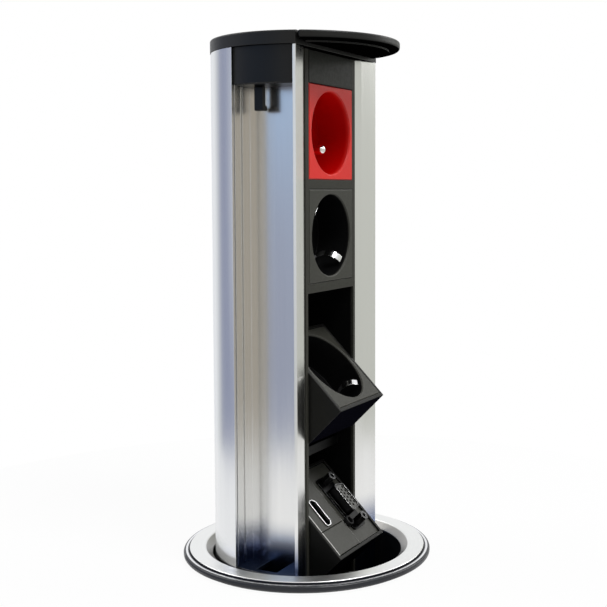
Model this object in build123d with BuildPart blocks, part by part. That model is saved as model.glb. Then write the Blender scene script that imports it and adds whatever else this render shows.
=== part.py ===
from build123d import *
from math import cos, radians, sin, sqrt, tan
import os

os.makedirs("parts", exist_ok=True)

# The origin is the centre of the desk hole, at the desk surface. The tower
# stands raised along +Z, its row of sockets faces -Y and its two cable
# channels face -X and +X.

# Clearances
seat_gap = 0.1  # between pieces that lie side by side
pin_gap = 0.05  # radial, round a pin or a screw
slide_gap = 0.3  # between pieces that move past each other
overrun = 1.0  # how far a cut goes past the face that it opens

# Column section
column_radius = 45.0
cover_wall = 1.6
profile_wall = 1.5
bay_half = 25.6  # half the clear width between the profile's side walls
fin_root = 13.2  # how far the fins' inner edges stand in front of the axis
fin_bend_x = 30.0
fin_bend_y = 15.2
fin_tip_x = 41.0
fin_tip_y = 17.7
wing_front = 14.6  # the rear wall of a cable channel
web_front = 28.5
groove_x = 34.4
groove_width = 1.7
groove_depth = 0.9
port_side_x = 29.6
port_rear_x = 18.0
port_wall = 1.3
cover_lip = 3.0

# Column heights
column_top = 242.0
column_below = 38.0
foot_height = 8.0
foot_corner = 1.5

# Lid
lid_overhang = 0.2
cap_height = 6.0
cap_edge = 0.8
cap_pocket = 2.4
cap_rim = 3.0
pocket_front = 11.8
seam = 18.1  # the flap's rear edge, in front of the axis
seam_gap = 0.35
flap_height = 4.0
flap_pad = 0.7
flap_rim = 5.2
flap_edge = 1.6
hinge_radius = 1.3
lug_centre = 30.0
lug_width = 6.0
flap_pin_radius = 0.75
flap_pin_length = 15.0
plate_height = 2.2

# Screws
screw_radius = 1.6
screw_length = 12.0
screw_head_radius = 3.0
drive_width = 0.9
small_screw_radius = 1.2
small_head_radius = 2.2
small_head_height = 1.4

# Cable channels
block_height = 17.0
block_setback = 1.4
block_edge = 0.6
hook_x = 33.9
hook_y = 5.0
hook_width = 4.4
hook_thickness = 2.4
hook_drop = 11.2
hook_reach = 1.8
hook_foot = 2.2
hook_edge = 0.8
floor_top = 2.4
floor_thickness = 2.0
floor_setback = 1.8
floor_hole_x = 33.4
floor_hole_y = -0.3
floor_hole_width = 13.2
floor_hole_length = 11.0

# Socket row
face_front = 14.0  # the socket faces stand this far in front of the axis
module_width = 44.2
module_height = 44.0
module_pitch = 48.4
first_module_z = 204.8
frame_setback = 0.2
frame_depth = 10.0
rail_depth = 38.0
blank_thickness = 2.4
blank_clip = 6.0
slot_bar_z = 49.6
slot_bar_height = 4.4
slot_bar_setback = 9.0
bottom_bar_height = 22.0
edge_break = 0.5
liner_thickness = 1.4
liner_height = 160.0

# Socket recess and what stands behind it
face_thickness = 1.9
cup_radius = 19.5
cup_depth = 17.5
cup_wall = 1.4
cup_floor = 2.0
cup_draft = 1.5
pin_spacing = 19.0
pin_hole_radius = 2.6
base_width = 36.0
base_depth = 14.0
base_edge = 1.5
contact_radius = 3.3
contact_wall = 0.8
contact_length = 11.0
contact_slit = 0.7
earth_pin_drop = 7.7
earth_pin_radius = 2.4
earth_pin_below_face = 3.6
earth_pin_flange = 4.0
earth_flange_height = 1.2
earth_shank = 6.0
clip_angle = -45.0
clip_width = 3.4
clip_thickness = 0.7
clip_foot_radius = 17.3
clip_bulge_radius = 13.2
clip_bulge_below = 6.8
clip_low_radius = 14.6
clip_low_below = 12.6
clip_tip_radius = 17.6
clip_tip_below = 1.7
clip_bend_below = 15.2
screw_corner = 14.6
screw_bite = 1.5

# Tilting modules
tilt = 45.0
tilt_space = 46.9  # the clear width that a tilting module moves in
tilt_height = 48.0
tilt_depth = 24.0
tilt_wall = 1.5
tilt_lip = 1.6
tilt_proud = 0.9  # how far the tilting faces stand in front of the fixed ones
pivot_depth = 4.0
pivot_radius = 1.5
pivot_length = 3.4
socket_pivot_z = 90.7
data_pivot_z = 21.0

# Data ports, measured on the tilted face from its centre
step_x = -0.2
step_depth = 1.0
plate_thickness = 2.0
hdmi_x = -12.3
hdmi_y = 0.2
hdmi_long = 15.2
hdmi_short = 5.6
hdmi_depth = 11.5
hdmi_wall = 0.5
hdmi_proud = 0.6
hdmi_corner = 1.4
hdmi_bevel = 1.7
tongue_long = 11.2
tongue_short = 1.4
tongue_back = 1.6
split_y = -8.5
lip_gap = 0.4
vga_x = 10.0
vga_y = 0.0
vga_long = 16.6
vga_short = 8.2
vga_slope = 10.0
vga_corner = 1.8
vga_wall = 0.6
vga_height = 6.0
vga_flange_long = 30.8
vga_flange_short = 12.4
vga_flange_height = 0.8
vga_body_depth = 9.0
vga_sunk = 0.6
vga_hole_radius = 0.7
vga_row_pitch = 2.2
vga_column_pitch = 2.3
post_spacing = 25.0
post_radius = 2.5
post_height = 6.4
post_bore = 1.1
jack_x = 3.2
jack_y = -10.3
jack_radius = 2.3
jack_bore = 1.75
jack_height = 2.6
jack_depth = 9.0
board_thickness = 1.6
board_setback = 14.5

# Wiring inside
block_width = 36.0
block_depth = 17.0
terminal_height = 9.6
terminal_z = 127.2
pole_pitch = 11.0
pole_radius = 1.9
wire_radius = 1.3
wire_top = 214.0
comb_height = 5.0
comb_width = 30.0
comb_low = 150.0
comb_high = 200.0

# Desk flange and well
column_clearance = 1.3
well_step = 0.5
well_wall = 2.8
well_depth = 300.0
gasket_height = 0.8
gasket_setback = 2.4
flange_reach = 10.7
rim_width = 2.8
rim_base = 2.2
rim_lip = 0.8
rim_edge = 1.2
ring_thickness = 1.8
ring_bevel = 3.5
ring_bevel_height = 2.9
ring_sleeve = 2.0
ring_edge = 0.3
thread_pitch = 4.0
thread_height = 0.6
thread_width = 1.8
thread_start = 26.0
thread_turns = 11
desk_thickness = 25.0
clamp_drop = 12.0
clamp_height = 9.0
clamp_wall = 9.5
clamp_grips = 12
grip_radius = 3.0
clamp_screw_radius = 2.5
clamp_head_radius = 4.2
clamp_head_height = 6.0
clamp_screw_below = 6.0
clamp_pad_radius = 4.0
clamp_pad_height = 2.5
rail_reach = 3.3
rail_width = 4.0
rail_top = 22.0
stop_height = 4.0
pad_height = 14.0
pad_top = 10.0
pad_half_angle = 40.0
pad_felt = 0.2
end_floor = 3.0
end_skirt = 12.0
end_skirt_wall = 1.1
end_opening = 30.0
gland_y = 9.0
gland_bore = 4.2
gland_radius = 7.5
gland_nut_radius = 9.6
gland_hex_height = 4.5
gland_dome_height = 4.0
gland_nut_height = 4.0

# Places worked out from the sizes above
lid_top = column_top + cap_height
lid_radius = column_radius + lid_overhang
block_radius = lid_radius - block_setback
floor_radius = column_radius - floor_setback
hinge_z = lid_top - hinge_radius
hinge_y = -seam - hinge_radius
bay_front = -face_front + frame_setback
pivot_y = -face_front - tilt_proud + pivot_depth
rail_half = tilt_space / 2
tilt_width = tilt_space - 4 * seat_gap
frame_half = bay_half - 2 * seat_gap
second_module_z = first_module_z - module_pitch
cup_back = cup_depth + cup_floor
base_front = cup_back + seat_gap
port_radius = screw_radius + pin_gap + port_wall
side_port = (port_side_x, wing_front + profile_wall + port_radius - port_wall)
rear_port = (port_rear_x, web_front + profile_wall + port_radius - port_wall)
ports = [(side * x, y) for x, y in (side_port, rear_port) for side in (-1, 1)]
hole_radius = column_radius + column_clearance
well_inner = hole_radius + well_step
well_outer = well_inner + well_wall
rail_inner = well_inner - rail_reach
rim_radius = well_outer + seat_gap + flange_reach
rim_inner = rim_radius - rim_width
gasket_outer = rim_radius - gasket_setback
rim_floor = gasket_height + rim_base
rim_top = rim_floor + rim_lip
ring_outer = rim_inner - seat_gap
ring_top = rim_floor + ring_thickness
ring_low = rim_floor - ring_sleeve
clamp_inner = well_outer + thread_height + slide_gap
clamp_outer = clamp_inner + clamp_wall
clamp_screw_circle = (clamp_inner + clamp_outer) / 2
clamp_top = -desk_thickness - clamp_drop


def row_plane(height):
    """The upright face plane of a fixed module, x to the right and y up."""
    return Plane(origin=(0, -face_front, height), x_dir=(1, 0, 0), z_dir=(0, -1, 0))


def tilted_plane(pivot_z):
    """The face plane of a module that is tipped out about its pivots."""
    lean = radians(tilt)
    face_y = pivot_y - pivot_depth * cos(lean)
    face_z = pivot_z + pivot_depth * sin(lean)
    return Plane(origin=(0, face_y, face_z), x_dir=(1, 0, 0), z_dir=(0, -cos(lean), sin(lean)))


def outward(plane):
    """The axis that points out of a face plane, for sorting its faces."""
    return Axis(plane.origin, plane.z_dir)


def save(piece, name):
    piece.part.label = name
    export_step(piece.part, f"parts/{name}.step")


# Aluminium core profile
inner_slope = (fin_bend_y - fin_root) / (fin_bend_x - bay_half)
outer_slope = (fin_tip_y - fin_bend_y) / (fin_tip_x - fin_bend_x)
inner_rise = profile_wall * sqrt(1 + inner_slope ** 2)
outer_rise = profile_wall * sqrt(1 + outer_slope ** 2)
fin_tip_turn = profile_wall ** 2 / outer_rise
rear_bend_x = fin_bend_x + (inner_rise - outer_rise) / (inner_slope - outer_slope)


def fin_rear_y(x):
    """The rear face of the bent fins at a distance x from the middle."""
    if x < rear_bend_x:
        return inner_rise - fin_root - inner_slope * (x - bay_half)
    return outer_rise - fin_bend_y - outer_slope * (x - fin_bend_x)


wing_end = sqrt((column_radius - cover_wall - slide_gap) ** 2 - (wing_front + profile_wall) ** 2)
with BuildPart() as core_profile:
    with BuildSketch(Plane.XY.offset(-column_below)):
        with BuildLine():
            Polyline(
                (bay_half, -fin_root),
                (fin_bend_x, -fin_bend_y),
                (fin_tip_x, -fin_tip_y),
                (fin_tip_x + outer_slope * fin_tip_turn, fin_tip_turn - fin_tip_y),
                (rear_bend_x, fin_rear_y(rear_bend_x)),
                (bay_half, fin_rear_y(bay_half)),
                close=True,
            )
        make_face()
        with Locations((bay_half, -fin_root)):
            Rectangle(
                profile_wall,
                fin_root + web_front + profile_wall,
                align=(Align.MIN, Align.MIN),
            )
        with Locations((bay_half, wing_front)):
            Rectangle(wing_end - bay_half, profile_wall, align=(Align.MIN, Align.MIN))
        with Locations((0, web_front)):
            Rectangle(bay_half + profile_wall, profile_wall, align=(Align.MIN, Align.MIN))
        with Locations(side_port, rear_port):
            Circle(port_radius)
        with Locations(side_port, rear_port):
            Circle(screw_radius + pin_gap, mode=Mode.SUBTRACT)
        with Locations((groove_x, wing_front)):
            Rectangle(groove_width, 2 * groove_depth, mode=Mode.SUBTRACT)
        mirror(about=Plane.YZ)
    extrude(amount=column_below + column_top)
save(core_profile, "core_profile")

# Brushed cover that wraps the rear half
cover_inner = column_radius - cover_wall
cover_end = sqrt(column_radius ** 2 - wing_front ** 2)
with BuildPart() as rear_cover:
    with BuildSketch(Plane.XY.offset(-column_below)):
        Circle(column_radius)
        Circle(cover_inner, mode=Mode.SUBTRACT)
        with Locations((0, wing_front)):
            Rectangle(2 * lid_radius, 2 * lid_radius, align=(Align.CENTER, Align.MAX), mode=Mode.SUBTRACT)
        lip_y = wing_front + profile_wall + seat_gap
        for side in (-1, 1):
            with Locations((side * (cover_inner - cover_lip / 2 - cover_wall), lip_y + cover_wall / 2)):
                Rectangle(cover_lip + cover_wall, cover_wall)
        Circle(column_radius, mode=Mode.INTERSECT)
    extrude(amount=column_below + column_top)
save(rear_cover, "rear_cover")

# Fixed half of the lid, with the lugs that carry the flap
with BuildPart() as rear_cap:
    with BuildSketch(Plane.XY.offset(column_top)):
        Circle(lid_radius)
        with Locations((0, seam_gap - seam)):
            Rectangle(2 * lid_radius, lid_radius, align=(Align.CENTER, Align.MAX), mode=Mode.SUBTRACT)
    extrude(amount=cap_height)
    rim_edges = rear_cap.faces().sort_by(Axis.Z)[-1].edges().filter_by(GeomType.CIRCLE)
    fillet(rim_edges, radius=cap_edge)
    with BuildSketch(Plane.XY.offset(column_top)):
        Circle(lid_radius - cap_rim)
        with Locations((0, -pocket_front)):
            Rectangle(2 * lid_radius, lid_radius, align=(Align.CENTER, Align.MAX), mode=Mode.SUBTRACT)
    extrude(amount=cap_pocket, mode=Mode.SUBTRACT)
    for side in (-1, 1):
        with BuildSketch(Plane.YZ.offset(side * lug_centre)):
            with Locations((hinge_y, hinge_z)):
                Circle(hinge_radius)
            with Locations((hinge_y, hinge_z)):
                Rectangle(
                    seam_gap - seam - hinge_y,
                    2 * hinge_radius,
                    align=(Align.MIN, Align.CENTER),
                )
            with Locations((hinge_y, hinge_z)):
                Circle(flap_pin_radius + pin_gap, mode=Mode.SUBTRACT)
        extrude(amount=lug_width / 2, both=True)
save(rear_cap, "rear_cap")

# Plate that is screwed to the profile and holds the cap
with BuildPart() as cap_plate:
    with BuildSketch(Plane.XY.offset(column_top)):
        Circle(lid_radius - cap_rim - seat_gap)
        with Locations((0, seat_gap - pocket_front)):
            Rectangle(2 * lid_radius, lid_radius, align=(Align.CENTER, Align.MAX), mode=Mode.SUBTRACT)
    extrude(amount=plate_height)
    with Locations(*[(x, y, column_top + plate_height) for x, y in ports]):
        CounterSinkHole(
            radius=screw_radius + pin_gap,
            counter_sink_radius=screw_head_radius + pin_gap,
            depth=plate_height,
        )
save(cap_plate, "cap_plate")


# Eight slotted screws in the profile's ports, four from each end
foot_seat = -column_below - plate_height
with BuildPart() as column_screws:
    for seat, direction in ((column_top + plate_height, 1), (foot_seat, -1)):
        for x, y in ports:
            head = Plane(origin=(x, y, seat), z_dir=(0, 0, direction))
            with BuildSketch(head):
                Circle(screw_radius)
            extrude(amount=-screw_length)
            with BuildSketch(head):
                Circle(screw_head_radius)
            with BuildSketch(head.offset(screw_radius - screw_head_radius)):
                Circle(screw_radius)
            loft()
            with BuildSketch(head):
                Rectangle(2 * screw_head_radius, drive_width)
            extrude(amount=-drive_width, mode=Mode.SUBTRACT)
save(column_screws, "column_screws")

# Half lid over the plug space, hinged at the seam
with BuildPart() as front_flap:
    with BuildSketch(Plane.XY.offset(lid_top - flap_height)):
        Circle(lid_radius)
        with Locations((0, hinge_y)):
            Rectangle(2 * lid_radius, 2 * lid_radius, align=(Align.CENTER, Align.MIN), mode=Mode.SUBTRACT)
    extrude(amount=flap_height)
    flap_rim_top = front_flap.faces().sort_by(Axis.Z)[-1].edges().filter_by(GeomType.CIRCLE)
    flap_rim_low = front_flap.faces().sort_by(Axis.Z)[0].edges().filter_by(GeomType.CIRCLE)
    fillet(flap_rim_low, radius=flap_edge)
    fillet(flap_rim_top, radius=cap_edge)
    with BuildSketch(Plane.XY.offset(lid_top - flap_height - flap_pad)):
        Circle(lid_radius - flap_rim)
        with Locations((0, hinge_y)):
            Rectangle(2 * lid_radius, 2 * lid_radius, align=(Align.CENTER, Align.MIN), mode=Mode.SUBTRACT)
    extrude(amount=flap_pad + flap_height / 2)
    barrel_half = sqrt(lid_radius ** 2 - hinge_y ** 2) - cap_edge
    with BuildSketch(Plane.YZ):
        with Locations((hinge_y, hinge_z)):
            Circle(hinge_radius)
    extrude(amount=barrel_half, both=True)
    for side in (-1, 1):
        with BuildSketch(Plane.YZ.offset(side * lug_centre)):
            with Locations((hinge_y, hinge_z)):
                Rectangle(2 * (hinge_radius + slide_gap), 2 * (hinge_radius + slide_gap))
        extrude(amount=lug_width / 2 + slide_gap, both=True, mode=Mode.SUBTRACT)
        with BuildSketch(Plane.YZ.offset(side * lug_centre)):
            with Locations((hinge_y, hinge_z)):
                Circle(flap_pin_radius + pin_gap)
        extrude(amount=flap_pin_length / 2 + seat_gap, both=True, mode=Mode.SUBTRACT)
save(front_flap, "front_flap")

with BuildPart() as flap_pins:
    for side in (-1, 1):
        with BuildSketch(Plane.YZ.offset(side * lug_centre)):
            with Locations((hinge_y, hinge_z)):
                Circle(flap_pin_radius)
        extrude(amount=flap_pin_length / 2, both=True)
save(flap_pins, "flap_pins")

# Pieces in the two cable channels
channel_wall = bay_half + profile_wall
side_names = {-1: "left", 1: "right"}

def channel_blank(side, radius, rear):
    """The outline of a cable channel, inside a circle and in front of a rear line."""
    wall_x = channel_wall + seat_gap
    with BuildSketch() as outline:
        with BuildLine():
            Polyline(
                (side * wall_x, fin_rear_y(wall_x) + seat_gap),
                (side * rear_bend_x, fin_rear_y(rear_bend_x) + seat_gap),
                (side * lid_radius, fin_rear_y(lid_radius) + seat_gap),
                (side * lid_radius, rear),
                (side * wall_x, rear),
                close=True,
            )
        make_face()
        Circle(radius, mode=Mode.INTERSECT)
    return outline.sketch


for side, side_name in side_names.items():
    with BuildPart() as channel_block:
        with BuildSketch(Plane.XY.offset(column_top - block_height)):
            add(channel_blank(side, block_radius, wing_front - slide_gap))
        extrude(amount=block_height)
        chamfer(channel_block.faces().sort_by(Axis.Z)[0].edges(), length=block_edge)
    save(channel_block, f"channel_block_{side_name}")

    hook_top = column_top - block_height
    with BuildPart() as cable_hook:
        with BuildSketch(Plane.XZ.offset(-hook_y)):
            with Locations((side * hook_x, hook_top)):
                Rectangle(hook_thickness, hook_drop, align=(Align.CENTER, Align.MAX))
            with Locations((side * (hook_x - hook_reach / 2), hook_top - hook_drop)):
                Rectangle(hook_reach + hook_thickness, hook_foot, align=(Align.CENTER, Align.MIN))
        extrude(amount=hook_width / 2, both=True)
        fillet(cable_hook.edges().filter_by(Axis.Y), radius=hook_edge)
    save(cable_hook, f"cable_hook_{side_name}")

    with BuildPart() as channel_floor:
        with BuildSketch(Plane.XY.offset(floor_top - floor_thickness)):
            add(channel_blank(side, floor_radius, wing_front - seat_gap))
            with Locations((side * floor_hole_x, floor_hole_y)):
                Rectangle(floor_hole_width, floor_hole_length, mode=Mode.SUBTRACT)
        extrude(amount=floor_thickness)
    save(channel_floor, f"channel_floor_{side_name}")

# Black frame that the modules are set in
bar_levels = [
    (first_module_z - module_height / 2 - seat_gap, module_pitch - module_height - 2 * seat_gap),
    (second_module_z - module_height / 2 - seat_gap, module_pitch - module_height - 2 * seat_gap),
    (-column_below + bottom_bar_height, bottom_bar_height),
]
with BuildPart() as bay_frame:
    with BuildSketch(Plane.XY.offset(-column_below)):
        for side in (-1, 1):
            with Locations((side * (rail_half + frame_half) / 2, bay_front)):
                Rectangle(frame_half - rail_half, rail_depth, align=(Align.CENTER, Align.MIN))
    extrude(amount=column_below + column_top)
    fixed_low = second_module_z - module_height / 2 - seat_gap
    strip_inner = module_width / 2 + seat_gap
    with BuildSketch(Plane.XY.offset(fixed_low)):
        for side in (-1, 1):
            with Locations((side * (strip_inner + frame_half) / 2, bay_front)):
                Rectangle(frame_half - strip_inner, frame_depth, align=(Align.CENTER, Align.MIN))
    extrude(amount=column_top - fixed_low)
    for bar_top, bar_height in bar_levels:
        with BuildSketch(Plane.XY.offset(bar_top - bar_height)):
            with Locations((0, bay_front)):
                Rectangle(2 * frame_half, frame_depth, align=(Align.CENTER, Align.MIN))
        extrude(amount=bar_height)
    with BuildSketch(Plane.XY.offset(slot_bar_z)):
        with Locations((0, bay_front + slot_bar_setback)):
            Rectangle(2 * frame_half, frame_depth, align=(Align.CENTER, Align.MIN))
    extrude(amount=slot_bar_height)
    for pivot_z in (socket_pivot_z, data_pivot_z):
        with BuildSketch(Plane.YZ):
            with Locations((pivot_y, pivot_z)):
                Circle(pivot_radius + pin_gap)
        extrude(amount=bay_half, both=True, mode=Mode.SUBTRACT)
save(bay_frame, "bay_frame")

# Blank panel between the lid and the first socket
blank_low = first_module_z + module_height / 2 + 2 * seat_gap
blank_high = column_top - seat_gap
blank_plane = row_plane((blank_low + blank_high) / 2)
with BuildPart() as blank_panel:
    with BuildSketch(blank_plane):
        Rectangle(module_width, blank_high - blank_low)
    extrude(amount=-blank_thickness)
    chamfer(blank_panel.faces().sort_by(outward(blank_plane))[-1].edges(), length=edge_break / 2)
    with BuildSketch(blank_plane.offset(-blank_thickness)):
        with Locations(*[(side * (module_width - blank_clip) / 2, 0) for side in (-1, 1)]):
            Rectangle(blank_clip, (blank_high - blank_low) / 2)
    extrude(amount=-blank_clip)
save(blank_panel, "blank_panel")

# Liner that keeps hands away from the wiring behind the tilting modules
with BuildPart() as bay_liner:
    with BuildSketch(Plane.XY.offset(-column_below)):
        with Locations((0, web_front - seat_gap)):
            Rectangle(2 * frame_half, liner_thickness, align=(Align.CENTER, Align.MAX))
    extrude(amount=liner_height)
save(bay_liner, "bay_liner")


# Socket pieces, drawn on a face plane
def across(angle, distance):
    """A point on the face at an angle from its x axis."""
    return (distance * cos(radians(angle)), distance * sin(radians(angle)))


def pin_points(turn):
    return [across(turn + half, pin_spacing / 2) for half in (0, 180)]


def screw_points(turn):
    return [across(turn + half, screw_corner) for half in (0, 180)]


def socket_face(plane, width, height, rise, turn, with_pin):
    """A face plate with its round recess and the openings in its floor."""
    with BuildPart() as face:
        with BuildSketch(plane):
            with Locations((0, rise)):
                Rectangle(width, height)
        extrude(amount=-face_thickness)
        with BuildSketch(plane.offset(-face_thickness)):
            Circle(cup_radius + cup_wall)
        extrude(amount=face_thickness - cup_back)
        with BuildSketch(plane.offset(-cup_depth)):
            Circle(cup_radius - cup_depth * tan(radians(cup_draft)))
        extrude(amount=cup_depth + overrun, taper=-cup_draft, mode=Mode.SUBTRACT)
        chamfer(face.faces().sort_by(outward(plane))[-1].edges(), length=edge_break)
        with BuildSketch(plane.offset(-cup_back)):
            with Locations(*pin_points(turn)):
                Circle(pin_hole_radius)
            if with_pin:
                with Locations((0, -earth_pin_drop)):
                    Circle(earth_pin_radius + pin_gap)
            else:
                for half in (0, 180):
                    spot = across(clip_angle + half, clip_foot_radius)
                    with Locations(Location((spot[0], spot[1], 0), (0, 0, clip_angle))):
                        Rectangle(2 * clip_thickness, clip_width + 2 * slide_gap)
        extrude(amount=cup_floor, mode=Mode.SUBTRACT)
        with BuildSketch(plane.offset(-cup_back)):
            with Locations(*screw_points(turn)):
                Circle(small_screw_radius + pin_gap)
        extrude(amount=screw_bite + seat_gap, mode=Mode.SUBTRACT)
    return face


def socket_base(plane, turn, with_pin):
    """The moulded block behind the recess that holds the contacts."""
    with BuildPart() as base:
        with BuildSketch(plane.offset(-base_front)):
            RectangleRounded(base_width, base_width, base_edge)
        extrude(amount=-base_depth)
        with BuildSketch(plane.offset(-base_front)):
            with Locations(*pin_points(turn)):
                Circle(contact_radius + seat_gap)
        extrude(amount=-(contact_length + 2 * clip_thickness + seat_gap), mode=Mode.SUBTRACT)
        with BuildSketch(plane.offset(-base_front)):
            if with_pin:
                with Locations((0, -earth_pin_drop)):
                    Circle(earth_pin_flange + seat_gap)
            else:
                with Locations(Location((0, 0, 0), (0, 0, clip_angle))):
                    Rectangle(2 * clip_foot_radius + 2 * clip_thickness, clip_width + 2 * seat_gap)
        extrude(amount=-(earth_flange_height + seat_gap), mode=Mode.SUBTRACT)
        if with_pin:
            with BuildSketch(plane.offset(-base_front)):
                with Locations((0, -earth_pin_drop)):
                    Circle(earth_pin_radius + pin_gap)
            extrude(amount=-(earth_flange_height + earth_shank + seat_gap), mode=Mode.SUBTRACT)
        with BuildSketch(plane.offset(-base_front)):
            with Locations(*screw_points(turn)):
                Circle(small_screw_radius + pin_gap)
        extrude(amount=-base_depth, mode=Mode.SUBTRACT)
        with BuildSketch(plane.offset(-base_front - base_depth)):
            with Locations(*screw_points(turn)):
                Circle(small_head_radius + pin_gap)
        extrude(amount=small_head_height + pin_gap, mode=Mode.SUBTRACT)
    return base


def socket_contacts(plane, turn):
    """Two split sleeves that grip the plug's pins."""
    sleeve_top = plane.offset(-base_front - 2 * clip_thickness)
    with BuildPart() as contacts:
        with BuildSketch(sleeve_top):
            with Locations(*pin_points(turn)):
                Circle(contact_radius)
        extrude(amount=-contact_length)
        with BuildSketch(sleeve_top):
            with Locations(*pin_points(turn)):
                Circle(contact_radius - contact_wall)
        extrude(amount=-(contact_length - contact_wall), mode=Mode.SUBTRACT)
        with BuildSketch(sleeve_top):
            for x, y in pin_points(turn):
                with Locations(Location((x, y, 0), (0, 0, turn))):
                    Rectangle(contact_slit, 2 * contact_radius)
        extrude(amount=-contact_length / 2, mode=Mode.SUBTRACT)
    return contacts


def earth_clip(plane):
    """A sprung strip under the floor, with an arm that stands up at each side."""
    along = across(clip_angle, 1)
    upright = plane.z_dir
    arm_dir = plane.x_dir * along[0] + plane.y_dir * along[1]
    section = Plane(origin=plane.origin, x_dir=arm_dir, z_dir=arm_dir.cross(upright))
    strip_level = -base_front - clip_thickness / 2 - pin_gap
    with BuildPart() as clip:
        for half in (-1, 1):
            with BuildSketch(section):
                with BuildLine():
                    stem = Line(
                        (half * clip_foot_radius, strip_level),
                        (half * clip_foot_radius, -clip_bend_below),
                    )
                    Spline(
                        stem @ 1,
                        (half * clip_low_radius, -clip_low_below),
                        (half * clip_bulge_radius, -clip_bulge_below),
                        (half * clip_tip_radius, -clip_tip_below),
                    )
                trace(line_width=clip_thickness)
            extrude(amount=clip_width / 2, both=True)
        with BuildSketch(section):
            with Locations((0, strip_level)):
                Rectangle(2 * clip_foot_radius + clip_thickness, clip_thickness)
        extrude(amount=clip_width / 2, both=True)
    return clip


def earth_pin(plane):
    """The round earth pin that stands in the recess, on its flange."""
    foot = plane.offset(-base_front - pin_gap)
    with BuildPart() as pin:
        with BuildSketch(foot):
            with Locations((0, -earth_pin_drop)):
                Circle(earth_pin_radius)
        extrude(amount=base_front + pin_gap - earth_pin_below_face)
        fillet(
            pin.faces().sort_by(outward(plane))[-1].edges(),
            radius=earth_pin_radius - 2 * pin_gap,
        )
        with BuildSketch(foot):
            with Locations((0, -earth_pin_drop)):
                Circle(earth_pin_flange)
        extrude(amount=-earth_flange_height)
        with BuildSketch(foot.offset(-earth_flange_height)):
            with Locations((0, -earth_pin_drop)):
                Circle(earth_pin_radius)
        extrude(amount=-earth_shank)
    return pin


def base_screws(planes, turns):
    """The screws that pull each base up against the floor of its recess."""
    with BuildPart() as screws:
        for plane, turn in zip(planes, turns):
            head_top = plane.offset(-base_front - base_depth)
            with BuildSketch(head_top):
                with Locations(*screw_points(turn)):
                    Circle(small_head_radius)
            extrude(amount=small_head_height)
            with BuildSketch(head_top.offset(small_head_height)):
                with Locations(*screw_points(turn)):
                    Circle(small_screw_radius)
            extrude(amount=base_depth - small_head_height + seat_gap + screw_bite)
            with BuildSketch(head_top):
                with Locations(*screw_points(turn)):
                    Rectangle(2 * small_head_radius, drive_width)
            extrude(amount=small_head_height / 2, mode=Mode.SUBTRACT)
    return screws


first_plane = row_plane(first_module_z)
second_plane = row_plane(second_module_z)
third_plane = tilted_plane(socket_pivot_z)
pin_turn = 0.0
clip_turn = clip_angle + 90

save(socket_face(first_plane, module_width, module_height, 0, pin_turn, True), "red_socket_face")
save(socket_base(first_plane, pin_turn, True), "red_socket_base")
save(socket_contacts(first_plane, pin_turn), "red_socket_contacts")
save(earth_pin(first_plane), "red_socket_earth_pin")

save(socket_face(second_plane, module_width, module_height, 0, clip_turn, False), "black_socket_face")
save(socket_base(second_plane, clip_turn, False), "black_socket_base")
save(socket_contacts(second_plane, clip_turn), "black_socket_contacts")
save(earth_clip(second_plane), "black_socket_earth_clip")
save(base_screws((first_plane, second_plane), (pin_turn, clip_turn)), "socket_screws")

inner_half = tilt_width / 2 - tilt_wall
inner_top = tilt_height / 2 - tilt_wall
inner_low = -tilt_height / 2 + tilt_lip
inner_middle = (inner_top + inner_low) / 2
tilt_face_size = (2 * (inner_half - seat_gap), inner_top - inner_low - 2 * seat_gap)
save(
    socket_face(third_plane, *tilt_face_size, inner_middle, clip_turn, False),
    "tilting_socket_face",
)
save(socket_base(third_plane, clip_turn, False), "tilting_socket_base")
save(socket_contacts(third_plane, clip_turn), "tilting_socket_contacts")
save(earth_clip(third_plane), "tilting_socket_earth_clip")
save(base_screws((third_plane,), (clip_turn,)), "tilting_socket_screws")


def side_pins(pivot_z):
    """The two stub pins that a tilting module turns on."""
    with BuildPart() as pins:
        for side in (-1, 1):
            with BuildSketch(Plane.YZ.offset(side * (frame_half - seat_gap))):
                with Locations((pivot_y, pivot_z)):
                    Circle(pivot_radius)
            extrude(amount=-side * pivot_length)
    return pins


def tilting_housing(plane, pivot_z, rear_opening):
    """The box of a tilting module, open in front and round its pivots."""
    with BuildPart() as housing:
        with BuildSketch(plane):
            Rectangle(tilt_width, tilt_height)
            with Locations((0, inner_middle)):
                Rectangle(2 * inner_half, inner_top - inner_low, mode=Mode.SUBTRACT)
        extrude(amount=-tilt_depth)
        with BuildSketch(plane.offset(-tilt_depth)):
            Rectangle(tilt_width - 2 * tilt_wall, tilt_height - 2 * tilt_wall)
            if rear_opening:
                RectangleRounded(rear_opening, rear_opening, base_edge, mode=Mode.SUBTRACT)
        extrude(amount=tilt_wall)
        with BuildSketch(Plane.YZ):
            with Locations((pivot_y, pivot_z)):
                Circle(pivot_radius + pin_gap)
        extrude(amount=bay_half, both=True, mode=Mode.SUBTRACT)
        rim = housing.faces().sort_by(outward(plane))[-1].outer_wire().edges()
        chamfer(rim, length=edge_break / 2)
    return housing


base_opening = base_width + 2 * slide_gap
save(tilting_housing(third_plane, socket_pivot_z, base_opening), "tilting_socket_housing")
save(side_pins(socket_pivot_z), "tilting_socket_pivots")

# Data module, in the same tipped-out pose
data_plane = tilted_plane(data_pivot_z)
save(tilting_housing(data_plane, data_pivot_z, 0), "data_housing")
save(side_pins(data_pivot_z), "data_pivots")

hdmi_spot = (hdmi_x, hdmi_y)
vga_spot = (vga_x, vga_y)
near_left = -inner_half + seat_gap


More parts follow.
